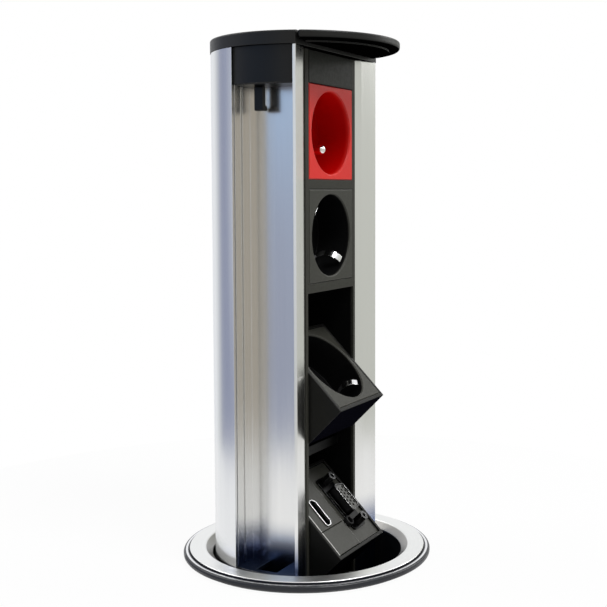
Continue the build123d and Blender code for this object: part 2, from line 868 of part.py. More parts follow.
def port_outline(grow):
    """The small port's outline, with its two right-hand corners cut off."""
    long = hdmi_long + 2 * grow
    short = hdmi_short + 2 * grow
    with BuildSketch() as outline:
        Rectangle(short, long)
        corners = outline.vertices().sort_by(Axis.X)
        chamfer(corners[2:], length=hdmi_bevel)
        fillet(outline.vertices().sort_by(Axis.X)[:2], radius=hdmi_corner + grow)
    return outline.sketch


with BuildPart() as hdmi_plate:
    with BuildSketch(data_plane):
        with Locations((near_left, split_y + seat_gap)):
            Rectangle(
                step_x - near_left,
                inner_top - seat_gap - split_y - seat_gap,
                align=(Align.MIN, Align.MIN),
            )
        with Locations(hdmi_spot):
            add(port_outline(seat_gap), mode=Mode.SUBTRACT)
    extrude(amount=-plate_thickness)
    chamfer(hdmi_plate.faces().sort_by(outward(data_plane))[-1].outer_wire().edges(), length=edge_break / 2)
save(hdmi_plate, "hdmi_plate")

with BuildPart() as lower_blank_plate:
    with BuildSketch(data_plane):
        with Locations((near_left, inner_low + lip_gap)):
            Rectangle(
                step_x - near_left,
                split_y - seat_gap - inner_low - lip_gap,
                align=(Align.MIN, Align.MIN),
            )
    extrude(amount=-plate_thickness)
    chamfer(lower_blank_plate.faces().sort_by(outward(data_plane))[-1].edges(), length=edge_break / 2)
save(lower_blank_plate, "lower_blank_plate")

vga_level = data_plane.offset(-step_depth)
post_points = [(vga_x, vga_y + half * post_spacing / 2) for half in (-1, 1)]
with BuildPart() as vga_plate:
    with BuildSketch(vga_level):
        with Locations((step_x + seat_gap, inner_low + lip_gap)):
            Rectangle(
                inner_half - step_x - 2 * seat_gap,
                inner_top - seat_gap - inner_low - lip_gap,
                align=(Align.MIN, Align.MIN),
            )
        with Locations(vga_spot):
            Rectangle(vga_short + 2 * vga_wall, vga_long + 2 * vga_wall, mode=Mode.SUBTRACT)
        with Locations(*post_points):
            Circle(post_bore + 2 * pin_gap, mode=Mode.SUBTRACT)
        with Locations((jack_x, jack_y)):
            Circle(jack_radius + pin_gap, mode=Mode.SUBTRACT)
    extrude(amount=-plate_thickness)
save(vga_plate, "vga_plate")


with BuildPart() as hdmi_shell:
    with BuildSketch(data_plane.offset(hdmi_proud)):
        with Locations(hdmi_spot):
            add(port_outline(0))
    extrude(amount=-(hdmi_depth + hdmi_proud))
    with BuildSketch(data_plane.offset(hdmi_proud)):
        with Locations(hdmi_spot):
            add(port_outline(-hdmi_wall))
    extrude(amount=-(hdmi_depth + hdmi_proud - hdmi_wall), mode=Mode.SUBTRACT)
save(hdmi_shell, "hdmi_shell")

with BuildPart() as hdmi_tongue:
    with BuildSketch(data_plane.offset(hdmi_wall - hdmi_depth)):
        with Locations(hdmi_spot):
            Rectangle(tongue_short, tongue_long)
    extrude(amount=hdmi_depth - hdmi_wall - tongue_back)
save(hdmi_tongue, "hdmi_tongue")


def d_outline(grow):
    """The D-shaped outline of the video port, wider on its left side."""
    half_long = vga_long / 2 + grow
    half_short = vga_short / 2 + grow
    slope = 2 * half_short * tan(radians(vga_slope))
    with BuildSketch() as outline:
        with BuildLine():
            Polyline(
                (-half_short, -half_long),
                (-half_short, half_long),
                (half_short, half_long - slope),
                (half_short, slope - half_long),
                close=True,
            )
        make_face()
        fillet(outline.vertices(), radius=vga_corner + grow)
    return outline.sketch


with BuildPart() as vga_shell:
    with BuildSketch(vga_level):
        with Locations(vga_spot):
            RectangleRounded(vga_flange_short, vga_flange_long, vga_corner)
            add(d_outline(0), mode=Mode.SUBTRACT)
        with Locations(*post_points):
            Circle(post_bore + 2 * pin_gap, mode=Mode.SUBTRACT)
        with Locations((jack_x, jack_y)):
            Circle(jack_radius + 2 * seat_gap, mode=Mode.SUBTRACT)
    extrude(amount=vga_flange_height)
    with BuildSketch(vga_level):
        with Locations(vga_spot):
            add(d_outline(0))
            add(d_outline(-vga_wall), mode=Mode.SUBTRACT)
    extrude(amount=vga_height)
save(vga_shell, "vga_shell")

with BuildPart() as vga_insert:
    with BuildSketch(vga_level.offset(-vga_body_depth)):
        with Locations(vga_spot):
            Rectangle(vga_short, vga_long)
    extrude(amount=vga_body_depth - seat_gap)
    with BuildSketch(vga_level.offset(-plate_thickness)):
        with Locations(vga_spot):
            add(d_outline(-vga_wall - seat_gap))
    extrude(amount=plate_thickness + vga_height - vga_sunk)
    with BuildSketch(vga_level.offset(vga_height - vga_sunk)):
        with Locations(vga_spot):
            for row in (-1, 0, 1):
                stagger = row % 2 * vga_column_pitch / 2
                row_x = row * vga_row_pitch
                row_points = [(row_x, (k - 2) * vga_column_pitch + stagger - vga_column_pitch / 4) for k in range(5)]
                with Locations(*row_points):
                    Circle(vga_hole_radius)
    extrude(amount=-vga_height, mode=Mode.SUBTRACT)
save(vga_insert, "vga_insert")

with BuildPart() as vga_posts:
    with BuildSketch(vga_level.offset(vga_flange_height)):
        with Locations(*post_points):
            RegularPolygon(post_radius, 6)
    extrude(amount=post_height - vga_flange_height)
    with BuildSketch(vga_level.offset(-plate_thickness)):
        with Locations(*post_points):
            Circle(post_bore)
    extrude(amount=plate_thickness + vga_flange_height)
    with BuildSketch(vga_level.offset(post_height)):
        with Locations(*post_points):
            Circle(post_bore)
    extrude(amount=-post_height / 2, mode=Mode.SUBTRACT)
save(vga_posts, "vga_posts")

with BuildPart() as audio_jack:
    with BuildSketch(vga_level.offset(jack_height)):
        with Locations((jack_x, jack_y)):
            Circle(jack_radius)
    extrude(amount=-(jack_height + jack_depth))
    with BuildSketch(vga_level.offset(jack_height)):
        with Locations((jack_x, jack_y)):
            Circle(jack_bore)
    extrude(amount=-(jack_height + jack_depth - edge_break), mode=Mode.SUBTRACT)
save(audio_jack, "audio_jack")

with BuildPart() as data_board:
    with BuildSketch(data_plane.offset(-board_setback)):
        Rectangle(2 * inner_half - 2 * seat_gap, 2 * inner_top - 2 * seat_gap)
    extrude(amount=-board_thickness)
save(data_board, "data_board")

# Terminal block and bus wires on the profile's web
with BuildPart() as terminal_block:
    with BuildSketch(Plane.XY.offset(terminal_z)):
        with Locations((0, web_front - seat_gap)):
            Rectangle(block_width, block_depth, align=(Align.CENTER, Align.MAX))
    extrude(amount=terminal_height)
    with BuildSketch(Plane.XY.offset(terminal_z + terminal_height)):
        with Locations(*[(k * pole_pitch, web_front - block_depth / 2) for k in (-1, 0, 1)]):
            Circle(pole_radius)
    extrude(amount=-terminal_height / 2, mode=Mode.SUBTRACT)
save(terminal_block, "terminal_block")

wire_y = -face_front + base_front + base_depth + slide_gap + wire_radius
wire_spots = [(k * pole_pitch, wire_y) for k in (-1, 0, 1)]
with BuildPart() as bus_wires:
    with BuildSketch(Plane.XY.offset(terminal_z + terminal_height + seat_gap)):
        with Locations(*wire_spots):
            Circle(wire_radius)
    extrude(amount=wire_top - terminal_z - terminal_height)
save(bus_wires, "bus_wires")

with BuildPart() as wire_combs:
    for level in (comb_low, comb_high):
        with BuildSketch(Plane.XY.offset(level)):
            with Locations((0, web_front - seat_gap)):
                Rectangle(comb_width, web_front - wire_y, align=(Align.CENTER, Align.MAX))
            with Locations(*wire_spots):
                Circle(wire_radius + pin_gap, mode=Mode.SUBTRACT)
        extrude(amount=comb_height)
save(wire_combs, "wire_combs")

# Guide foot at the lower end of the column
foot_radius = well_inner - slide_gap
foot_bottom = -column_below - foot_height
lead_openings = [(side * floor_hole_x, floor_hole_y) for side in (-1, 1)]
with BuildPart() as column_foot:
    with BuildSketch(Plane.XY.offset(foot_bottom)):
        Circle(foot_radius)
        for side in (-1, 1):
            with Locations((side * foot_radius, 0)):
                Rectangle(
                    2 * (foot_radius - rail_inner + slide_gap),
                    rail_width + 2 * slide_gap,
                    mode=Mode.SUBTRACT,
                )
    extrude(amount=foot_height)
    with BuildSketch(Plane.XY.offset(foot_bottom)):
        with Locations(*lead_openings):
            RectangleRounded(floor_hole_width, floor_hole_length, foot_corner)
        with Locations((0, gland_y)):
            Circle(gland_radius + seat_gap)
    extrude(amount=foot_height, mode=Mode.SUBTRACT)
    with BuildSketch(Plane.XY.offset(foot_seat)):
        with Locations(*ports):
            Circle(screw_head_radius + pin_gap)
    extrude(amount=-foot_height, mode=Mode.SUBTRACT)
    with Locations(*[Location((x, y, foot_seat), (180, 0, 0)) for x, y in ports]):
        CounterSinkHole(
            radius=screw_radius + pin_gap,
            counter_sink_radius=screw_head_radius + pin_gap,
            depth=foot_height,
        )
save(column_foot, "column_foot")

# Gland that grips the supply lead where it enters the column
gland_seat = foot_bottom
with BuildPart() as supply_gland:
    with BuildSketch(Plane.XY.offset(gland_seat)):
        with Locations((0, gland_y)):
            RegularPolygon(gland_nut_radius, 6)
    extrude(amount=-gland_hex_height)
    with BuildSketch(Plane.XY.offset(gland_seat)):
        with Locations((0, gland_y)):
            Circle(gland_radius)
    extrude(amount=foot_height + gland_nut_height)
    with BuildSketch(Plane.XY.offset(gland_seat - gland_hex_height)):
        with Locations((0, gland_y)):
            Circle(gland_radius)
    extrude(amount=-gland_dome_height)
    fillet(supply_gland.faces().sort_by(Axis.Z)[0].edges(), radius=gland_dome_height / 2)
    with BuildSketch(Plane.XY.offset(gland_seat - gland_hex_height - gland_dome_height)):
        with Locations((0, gland_y)):
            Circle(gland_bore)
    extrude(
        amount=gland_dome_height + gland_hex_height + foot_height + gland_nut_height,
        mode=Mode.SUBTRACT,
    )
    with BuildSketch(Plane.XY.offset(seat_gap - column_below)):
        with Locations((0, gland_y)):
            RegularPolygon(gland_nut_radius, 6)
            Circle(gland_radius, mode=Mode.SUBTRACT)
    extrude(amount=gland_nut_height - seat_gap)
save(supply_gland, "supply_gland")

# Desk flange: gasket, dark rim and pale ring
with BuildPart() as desk_gasket:
    with BuildSketch():
        Circle(gasket_outer)
        Circle(well_outer + seat_gap, mode=Mode.SUBTRACT)
    extrude(amount=gasket_height)
save(desk_gasket, "desk_gasket")

with BuildPart() as flange_rim:
    with BuildSketch(Plane.XZ):
        with BuildLine():
            Polyline(
                (well_outer + seat_gap, gasket_height),
                (rim_radius, gasket_height),
                (rim_radius, rim_top),
                (rim_inner, rim_top),
                (rim_inner, rim_floor),
                (well_outer + seat_gap, rim_floor),
                close=True,
            )
        make_face()
    revolve(axis=Axis.Z)
    fillet(flange_rim.edges().filter_by(GeomType.CIRCLE).group_by(SortBy.RADIUS)[-1], radius=rim_edge)
save(flange_rim, "flange_rim")

with BuildPart() as flange_ring:
    with BuildSketch(Plane.XZ):
        with BuildLine():
            Polyline(
                (hole_radius, ring_low),
                (well_outer, ring_low),
                (well_outer, rim_floor),
                (ring_outer, rim_floor),
                (ring_outer, ring_top - ring_edge),
                (ring_outer - ring_edge, ring_top),
                (hole_radius + ring_bevel, ring_top),
                (hole_radius, ring_top - ring_bevel_height),
                close=True,
            )
        make_face()
    revolve(axis=Axis.Z)
save(flange_ring, "flange_ring")

# Well tube, with the thread ridges that the clamp nut runs on
with BuildPart() as well_tube:
    with BuildSketch(Plane.XY.offset(-well_depth)):
        Circle(well_outer)
        Circle(well_inner, mode=Mode.SUBTRACT)
    extrude(amount=well_depth + ring_low)
    for turn in range(thread_turns):
        with BuildSketch(Plane.XY.offset(-thread_start - turn * thread_pitch)):
            Circle(well_outer + thread_height)
            Circle(well_outer - thread_height, mode=Mode.SUBTRACT)
        extrude(amount=-thread_width)
save(well_tube, "well_tube")

with BuildPart() as clamp_nut:
    with BuildSketch(Plane.XY.offset(clamp_top)):
        Circle(clamp_outer)
        Circle(clamp_inner, mode=Mode.SUBTRACT)
        with PolarLocations(clamp_outer, clamp_grips, start_angle=180 / clamp_grips):
            Circle(grip_radius, mode=Mode.SUBTRACT)
        with PolarLocations(clamp_screw_circle, 3, start_angle=90):
            Circle(clamp_screw_radius + pin_gap, mode=Mode.SUBTRACT)
    extrude(amount=-clamp_height)
save(clamp_nut, "clamp_nut")

screw_low = clamp_top - clamp_height - clamp_screw_below
with BuildPart() as clamp_screws:
    with BuildSketch(Plane.XY.offset(screw_low)):
        with PolarLocations(clamp_screw_circle, 3, start_angle=90):
            Circle(clamp_screw_radius)
    extrude(amount=-desk_thickness - clamp_pad_height - screw_low)
    with BuildSketch(Plane.XY.offset(screw_low)):
        with PolarLocations(clamp_screw_circle, 3, start_angle=90):
            RegularPolygon(clamp_head_radius, 8)
    extrude(amount=-clamp_head_height)
save(clamp_screws, "clamp_screws")

with BuildPart() as clamp_pads:
    with BuildSketch(Plane.XY.offset(-desk_thickness)):
        with PolarLocations(clamp_screw_circle, 3, start_angle=90):
            Circle(clamp_pad_radius)
    extrude(amount=-clamp_pad_height)
save(clamp_pads, "clamp_pads")

# Pieces inside the well that guide, stop and hold the column
with BuildPart() as guide_rails:
    with BuildSketch(Plane.XY.offset(end_floor - well_depth)):
        for side in (-1, 1):
            with Locations((side * rail_inner, 0)):
                Rectangle(
                    well_inner - rail_inner,
                    rail_width,
                    align=(Align.MIN if side > 0 else Align.MAX, Align.CENTER),
                )
        Circle(well_inner - seat_gap, mode=Mode.INTERSECT)
    extrude(amount=well_depth - end_floor - rail_top)
save(guide_rails, "guide_rails")

with BuildPart() as stop_ring:
    with BuildSketch(Plane.XY.offset(slide_gap - column_below)):
        Circle(well_inner - seat_gap)
        Circle(column_radius + 2 * slide_gap, mode=Mode.SUBTRACT)
        Rectangle(2 * well_inner, rail_width + 2 * seat_gap, mode=Mode.SUBTRACT)
    extrude(amount=stop_height)
save(stop_ring, "stop_ring")

with BuildPart() as brake_pads:
    with BuildSketch(Plane.XY.offset(-pad_top - pad_height)):
        Circle(well_inner - seat_gap)
        Circle(column_radius + pad_felt, mode=Mode.SUBTRACT)
        with BuildLine():
            reach = 2 * well_inner
            corners = [across(90 + half * pad_half_angle, reach) for half in (-1, 1)]
            Polyline((0, 0), corners[0], corners[1], close=True)
        make_face(mode=Mode.INTERSECT)
    extrude(amount=pad_height)
save(brake_pads, "brake_pads")

# Ring that closes the lower end of the well, with room for the leads to hang through
end_bottom = -well_depth - end_floor
with BuildPart() as well_bottom:
    with BuildSketch(Plane.XY.offset(end_bottom)):
        Circle(well_outer + seat_gap + end_skirt_wall)
    extrude(amount=end_floor)
    with BuildSketch(Plane.XY.offset(-well_depth)):
        Circle(well_outer + seat_gap + end_skirt_wall)
        Circle(well_outer + seat_gap, mode=Mode.SUBTRACT)
    extrude(amount=end_skirt)
    with BuildSketch(Plane.XY.offset(-well_depth)):
        Circle(well_inner - seat_gap)
    extrude(amount=end_floor - seat_gap)
    with BuildSketch(Plane.XY.offset(end_bottom)):
        Circle(end_opening)
    extrude(amount=2 * end_floor, mode=Mode.SUBTRACT)
    chamfer(well_bottom.faces().sort_by(Axis.Z)[0].edges(), length=edge_break)
save(well_bottom, "well_bottom")
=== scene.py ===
import math

import bpy
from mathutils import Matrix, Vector

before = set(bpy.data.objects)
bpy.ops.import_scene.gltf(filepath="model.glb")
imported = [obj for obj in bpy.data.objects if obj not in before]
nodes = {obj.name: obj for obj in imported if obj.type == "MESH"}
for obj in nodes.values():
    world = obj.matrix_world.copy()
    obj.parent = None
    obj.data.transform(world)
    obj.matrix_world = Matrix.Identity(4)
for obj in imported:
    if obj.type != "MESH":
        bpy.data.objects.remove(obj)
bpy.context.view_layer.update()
print("frame loaded:", len(nodes), "nodes")

# Camera, at the photograph's view
camera = {
    "place": (-0.46506, -0.25618, 0.17775),
    "heading": 1.1213,      # turn from +Y towards +X, radians
    "down": 0.0762,         # turn below the horizon, radians
    "lens": 64.93,
    "sensor": 36,
    "shift": (-0.1018, -0.0486),
    "near": 0.01,
}


def makeCamera(spec):
    data = bpy.data.cameras.new("photoCamera")
    data.lens = spec["lens"]
    data.sensor_width = spec["sensor"]
    data.shift_x, data.shift_y = spec["shift"]
    data.clip_start = spec["near"]
    cam = bpy.data.objects.new("photoCamera", data)
    bpy.context.scene.collection.objects.link(cam)
    look = Vector((
        math.sin(spec["heading"]) * math.cos(spec["down"]),
        math.cos(spec["heading"]) * math.cos(spec["down"]),
        -math.sin(spec["down"]),
    ))
    cam.location = spec["place"]
    cam.rotation_euler = look.to_track_quat("-Z", "Y").to_euler()
    bpy.context.scene.camera = cam


makeCamera(camera)
bpy.context.scene.view_settings.view_transform = "Standard"
print("camera placed")

# Slots of the Mix node, by the type of data that it mixes
colorSlots = {"factor": 0, "first": 6, "second": 7, "result": 2}
vectorSlots = {"factor": 0, "first": 4, "second": 5, "result": 1}


def newGroup(name, inputs, outputs):
    group = bpy.data.node_groups.new(name, "ShaderNodeTree")
    for label, kind, value in inputs:
        socket = group.interface.new_socket(name=label, in_out="INPUT", socket_type=kind)
        if value is not None:
            socket.default_value = value
    for label, kind in outputs:
        group.interface.new_socket(name=label, in_out="OUTPUT", socket_type=kind)
    start = group.nodes.new("NodeGroupInput")
    end = group.nodes.new("NodeGroupOutput")
    return group, start, end


def addNode(tree, kind, **values):
    node = tree.nodes.new(kind)
    for key, value in values.items():
        setattr(node, key, value)
    return node


def feed(tree, socket, source):
    # A number or a colour is set on the socket, another node's output is linked to it
    if isinstance(source, (int, float)):
        socket.default_value = source
    elif isinstance(source, tuple):
        socket.default_value = (*source, 1)
    else:
        tree.links.new(source, socket)


def mathNode(tree, operation, *values, clamp=False):
    node = addNode(tree, "ShaderNodeMath", operation=operation, use_clamp=clamp)
    for slot, value in enumerate(values):
        feed(tree, node.inputs[slot], value)
    return node.outputs[0]


def mixColor(tree, factor, first, second, blend="MIX"):
    node = addNode(tree, "ShaderNodeMix", data_type="RGBA", blend_type=blend)
    feed(tree, node.inputs[colorSlots["factor"]], factor)
    feed(tree, node.inputs[colorSlots["first"]], first)
    feed(tree, node.inputs[colorSlots["second"]], second)
    return node.outputs[colorSlots["result"]]


def smoothStep(tree, value, low, high):
    node = addNode(tree, "ShaderNodeMapRange", interpolation_type="SMOOTHSTEP")
    feed(tree, node.inputs["Value"], value)
    feed(tree, node.inputs["From Min"], low)
    feed(tree, node.inputs["From Max"], high)
    return node.outputs["Result"]


def ramp(tree, value, span, result):
    # A straight change over result while value goes over span
    node = addNode(tree, "ShaderNodeMapRange")
    tree.links.new(value, node.inputs["Value"])
    node.inputs["From Min"].default_value, node.inputs["From Max"].default_value = span
    node.inputs["To Min"].default_value, node.inputs["To Max"].default_value = result
    return node.outputs["Result"]


def noiseNode(tree, detail):
    node = addNode(tree, "ShaderNodeTexNoise")
    node.inputs["Detail"].default_value = detail
    return node


def ownAxes(tree, output="Object"):
    # X, Y and Z in the piece's own axes, of the point or of its normal
    place = addNode(tree, "ShaderNodeTexCoord")
    split = addNode(tree, "ShaderNodeSeparateXYZ")
    tree.links.new(place.outputs[output], split.inputs[0])
    return split.outputs


def fromAxis(tree, x, y):
    squares = [mathNode(tree, "MULTIPLY", value, value) for value in (x, y)]
    return mathNode(tree, "SQRT", mathNode(tree, "ADD", *squares))


def edgeGlintGroup():
    # Painted highlight on edges: a mask where moulded rims would catch the light, and the bevelled normal.
    # Sides fades those that don't turn along X
    bevelSamples = 6
    sideGain = 2.5
    group, start, end = newGroup(
        "edgeGlint",
        [("Radius", "NodeSocketFloat", 0.0004), ("Gain", "NodeSocketFloat", 3.0),
         ("Sides", "NodeSocketFloat", 0.0)],
        [("Mask", "NodeSocketFloat"), ("Normal", "NodeSocketVector")],
    )
    bevel = addNode(group, "ShaderNodeBevel", samples=bevelSamples)
    group.links.new(start.outputs["Radius"], bevel.inputs["Radius"])
    geometry = addNode(group, "ShaderNodeNewGeometry")
    dot = addNode(group, "ShaderNodeVectorMath", operation="DOT_PRODUCT")
    group.links.new(bevel.outputs[0], dot.inputs[0])
    group.links.new(geometry.outputs["Normal"], dot.inputs[1])
    apart = mathNode(group, "SUBTRACT", 1.0, dot.outputs["Value"])
    mask = mathNode(group, "MULTIPLY", apart, start.outputs["Gain"], clamp=True)
    turned = addNode(group, "ShaderNodeSeparateXYZ")
    group.links.new(bevel.outputs[0], turned.inputs[0])
    alongX = mathNode(group, "ABSOLUTE", turned.outputs[0])
    sideways = mathNode(group, "MULTIPLY", alongX, sideGain, clamp=True)
    others = mathNode(group, "SUBTRACT", 1.0, sideways)
    loss = mathNode(group, "MULTIPLY", others, start.outputs["Sides"])
    mask = mathNode(group, "MULTIPLY", mask, mathNode(group, "SUBTRACT", 1.0, loss))
    group.links.new(mask, end.inputs["Mask"])
    group.links.new(bevel.outputs[0], end.inputs["Normal"])
    return group


def grainGroup():
    # Fine moulded grain and a slow change in tone
    grainDetail, toneDetail = 3.0, 2.0
    group, start, end = newGroup(
        "mouldedGrain",
        [("Scale", "NodeSocketFloat", 900.0), ("Patch", "NodeSocketFloat", 30.0)],
        [("Grain", "NodeSocketFloat"), ("Tone", "NodeSocketFloat")],
    )
    place = addNode(group, "ShaderNodeTexCoord")
    for detail, label, result in ((grainDetail, "Scale", "Grain"), (toneDetail, "Patch", "Tone")):
        noise = noiseNode(group, detail)
        group.links.new(place.outputs["Object"], noise.inputs["Vector"])
        group.links.new(start.outputs[label], noise.inputs["Scale"])
        group.links.new(noise.outputs["Fac"], end.inputs[result])
    return group


def streakGroup():
    # Brushed or drawn lines along the column's height, or round its axis
    turnScale = 0.05
    streakScale, streakDetail = 1.0, 4.0
    bandScale, bandDetail = 0.08, 2.0
    group, start, end = newGroup(
        "brushedStreaks",
        [("Across", "NodeSocketFloat", 2500.0), ("Along", "NodeSocketFloat", 12.0),
         ("Round", "NodeSocketFloat", 0.0)],
        [("Streak", "NodeSocketFloat"), ("Band", "NodeSocketFloat")],
    )
    x, y, z = ownAxes(group)
    radius = fromAxis(group, x, y)
    angle = mathNode(group, "MULTIPLY", mathNode(group, "ARCTAN2", y, x), turnScale)
    choose = addNode(group, "ShaderNodeMix", data_type="VECTOR")
    group.links.new(start.outputs["Round"], choose.inputs[vectorSlots["factor"]])
    layouts = {
        "first": ((x, "Across"), (y, "Across"), (z, "Along")),
        "second": ((radius, "Across"), (angle, "Along"), (z, "Along")),
    }
    for choice, layout in layouts.items():
        stretched = addNode(group, "ShaderNodeCombineXYZ")
        for slot, (value, label) in enumerate(layout):
            feed(group, stretched.inputs[slot], mathNode(group, "MULTIPLY", value, start.outputs[label]))
        group.links.new(stretched.outputs[0], choose.inputs[vectorSlots[choice]])
    for scale, detail, result in ((streakScale, streakDetail, "Streak"), (bandScale, bandDetail, "Band")):
        noise = noiseNode(group, detail)
        noise.inputs["Scale"].default_value = scale
        group.links.new(choose.outputs[vectorSlots["result"]], noise.inputs["Vector"])
        group.links.new(noise.outputs["Fac"], end.inputs[result])
    return group


def depthGroup():
    # How far a point lies behind a face plane, the mask for painted shade: 0 up to Near, 1 past Far
    group, start, end = newGroup(
        "depthInside",
        [("Outward", "NodeSocketVector", None), ("Level", "NodeSocketFloat", 0.0),
         ("Near", "NodeSocketFloat", 0.001), ("Far", "NodeSocketFloat", 0.006)],
        [("Mask", "NodeSocketFloat")],
    )
    place = addNode(group, "ShaderNodeTexCoord")
    dot = addNode(group, "ShaderNodeVectorMath", operation="DOT_PRODUCT")
    group.links.new(place.outputs["Object"], dot.inputs[0])
    group.links.new(start.outputs["Outward"], dot.inputs[1])
    depth = mathNode(group, "SUBTRACT", start.outputs["Level"], dot.outputs["Value"])
    mask = smoothStep(group, depth, start.outputs["Near"], start.outputs["Far"])
    group.links.new(mask, end.inputs["Mask"])
    return group


def radiusGroup():
    # Distance from the column's axis, as a step: 0 below Low and 1 past High
    group, start, end = newGroup(
        "radiusStep",
        [("Low", "NodeSocketFloat", 0.057), ("High", "NodeSocketFloat", 0.0572)],
        [("Mask", "NodeSocketFloat")],
    )
    x, y = ownAxes(group)[:2]
    mask = smoothStep(group, fromAxis(group, x, y), start.outputs["Low"], start.outputs["High"])
    group.links.new(mask, end.inputs["Mask"])
    return group


def lineGroup():
    # Painted highlight: thin lines below Low and past High in X, on a plate's side edges where they would
    # catch the light
    group, start, end = newGroup(
        "sideLines",
        [("Low", "NodeSocketFloat", -0.02), ("High", "NodeSocketFloat", 0.02)],
        [("Mask", "NodeSocketFloat")],
    )
    x = ownAxes(group)[0]
    before = mathNode(group, "LESS_THAN", x, start.outputs["Low"])
    after = mathNode(group, "GREATER_THAN", x, start.outputs["High"])
    group.links.new(mathNode(group, "MAXIMUM", before, after), end.inputs["Mask"])
    return group


def downGroup():
    # Faces that look down, by the piece's own axes: the mask for painted shade on undersides
    steepest = 0.6
    group, start, end = newGroup(
        "facingDown",
        [("Steep", "NodeSocketFloat", 0.25)],
        [("Mask", "NodeSocketFloat")],
    )
    z = ownAxes(group, "Normal")[2]
    down = mathNode(group, "MULTIPLY", z, -1.0)
    group.links.new(smoothStep(group, down, start.outputs["Steep"], steepest), end.inputs["Mask"])
    return group


edgeGlint = edgeGlintGroup()
mouldedGrain = grainGroup()
brushedStreaks = streakGroup()
depthInside = depthGroup()
radiusStep = radiusGroup()
facingDown = downGroup()
sideLines = lineGroup()


def placeGroup(tree, group, **values):
    node = addNode(tree, "ShaderNodeGroup", node_tree=group)
    for label, value in values.items():
        node.inputs[label].default_value = value
    return node


def placeStep(tree, low, high):
    return placeGroup(tree, radiusStep, Low=low, High=high).outputs["Mask"]


def placeDepth(tree, plane):
    return placeGroup(
        tree, depthInside, Outward=plane["outward"], Level=plane["level"],
        Near=plane["near"], Far=plane["far"],
    ).outputs["Mask"]


def newMaterial(name):
    material = bpy.data.materials.new(name)
    material.use_nodes = True
    tree = material.node_tree
    return material, tree, tree.nodes["Principled BSDF"]


def addRelief(tree, shader, height, strength, depth, normal=None):
    relief = addNode(tree, "ShaderNodeBump")
    relief.inputs["Strength"].default_value = strength
    relief.inputs["Distance"].default_value = depth
    tree.links.new(height, relief.inputs["Height"])
    if normal:
        tree.links.new(normal, relief.inputs["Normal"])
    tree.links.new(relief.outputs[0], shader.inputs["Normal"])


def scaled(color, factor, lift=0.0):
    return tuple(min(1.0, c * factor + lift) for c in color)


noiseSpan = (0.3, 0.7)      # where most of a noise's values lie
plasticLook = {"patch": 28.0, "spread": 0.14, "edgeGain": 3.0, "edgeFactor": 2.2, "edgeLift": 0.02,
               "steep": 0.25, "reliefDepth": 0.0002}
metalLook = {"edgeGain": 2.0, "edgeFactor": 1.15, "reliefDepth": 0.0001}


def plastic(name, color, edgeHighlightColor=None, rough=(0.42, 0.55), grain=900.0, bump=0.05, edge=0.0004,
            spec=0.5, coat=0.0, inside=None, sides=0.0, under=None, paintedRimHighlight=None, paintedSideHighlights=None):
    # Moulded plastic: slow tone change, fine grain and a painted highlight on the edges, with painted shade
    # and further painted highlights where asked
    look = plasticLook
    material, tree, shader = newMaterial(name)
    noise = placeGroup(tree, mouldedGrain, Scale=grain, Patch=look["patch"])
    glint = placeGroup(tree, edgeGlint, Radius=edge, Gain=look["edgeGain"], Sides=sides)
    dark, pale = scaled(color, 1 - look["spread"]), scaled(color, 1 + look["spread"])
    tone = mixColor(tree, noise.outputs["Tone"], dark, pale)
    # Painted highlight: edges turn towards the pale edge highlight colour
    edgeHighlightTone = edgeHighlightColor or scaled(color, look["edgeFactor"], look["edgeLift"])
    tone = mixColor(tree, glint.outputs["Mask"], tone, edgeHighlightTone)
    # Painted shade: darker behind the face plane
    if inside:
        tone = mixColor(tree, placeDepth(tree, inside), tone, inside["color"])
    shader.inputs["Specular IOR Level"].default_value = spec
    # Painted shade: faces that look down are darkened and lose their gloss
    if under:
        low = placeGroup(tree, facingDown, Steep=look["steep"]).outputs["Mask"]
        tone = mixColor(tree, low, tone, under)
        gloss = mathNode(tree, "MULTIPLY", mathNode(tree, "SUBTRACT", 1.0, low), spec)
        tree.links.new(gloss, shader.inputs["Specular IOR Level"])
    # Painted highlight: pale lines along the plate's side edges
    if paintedSideHighlights:
        lines = placeGroup(tree, sideLines, Low=paintedSideHighlights["low"], High=paintedSideHighlights["high"])
        tone = mixColor(tree, lines.outputs["Mask"], tone, paintedSideHighlights["color"])
    # Painted highlight: a pale metal band where the top would catch the light
    if paintedRimHighlight:
        first = placeStep(tree, paintedRimHighlight["from"], paintedRimHighlight["from"] + paintedRimHighlight["soft"])
        last = placeStep(tree, paintedRimHighlight["to"], paintedRimHighlight["to"] + paintedRimHighlight["soft"])
        ring = mathNode(tree, "SUBTRACT", first, last, clamp=True)
        tone = mixColor(tree, ring, tone, paintedRimHighlight["color"])
        tree.links.new(ring, shader.inputs["Metallic"])
    tree.links.new(tone, shader.inputs["Base Color"])
    tree.links.new(ramp(tree, noise.outputs["Grain"], noiseSpan, rough), shader.inputs["Roughness"])
    addRelief(tree, shader, noise.outputs["Grain"], bump, look["reliefDepth"], glint.outputs["Normal"])
    shader.inputs["Coat Weight"].default_value = coat
    return material


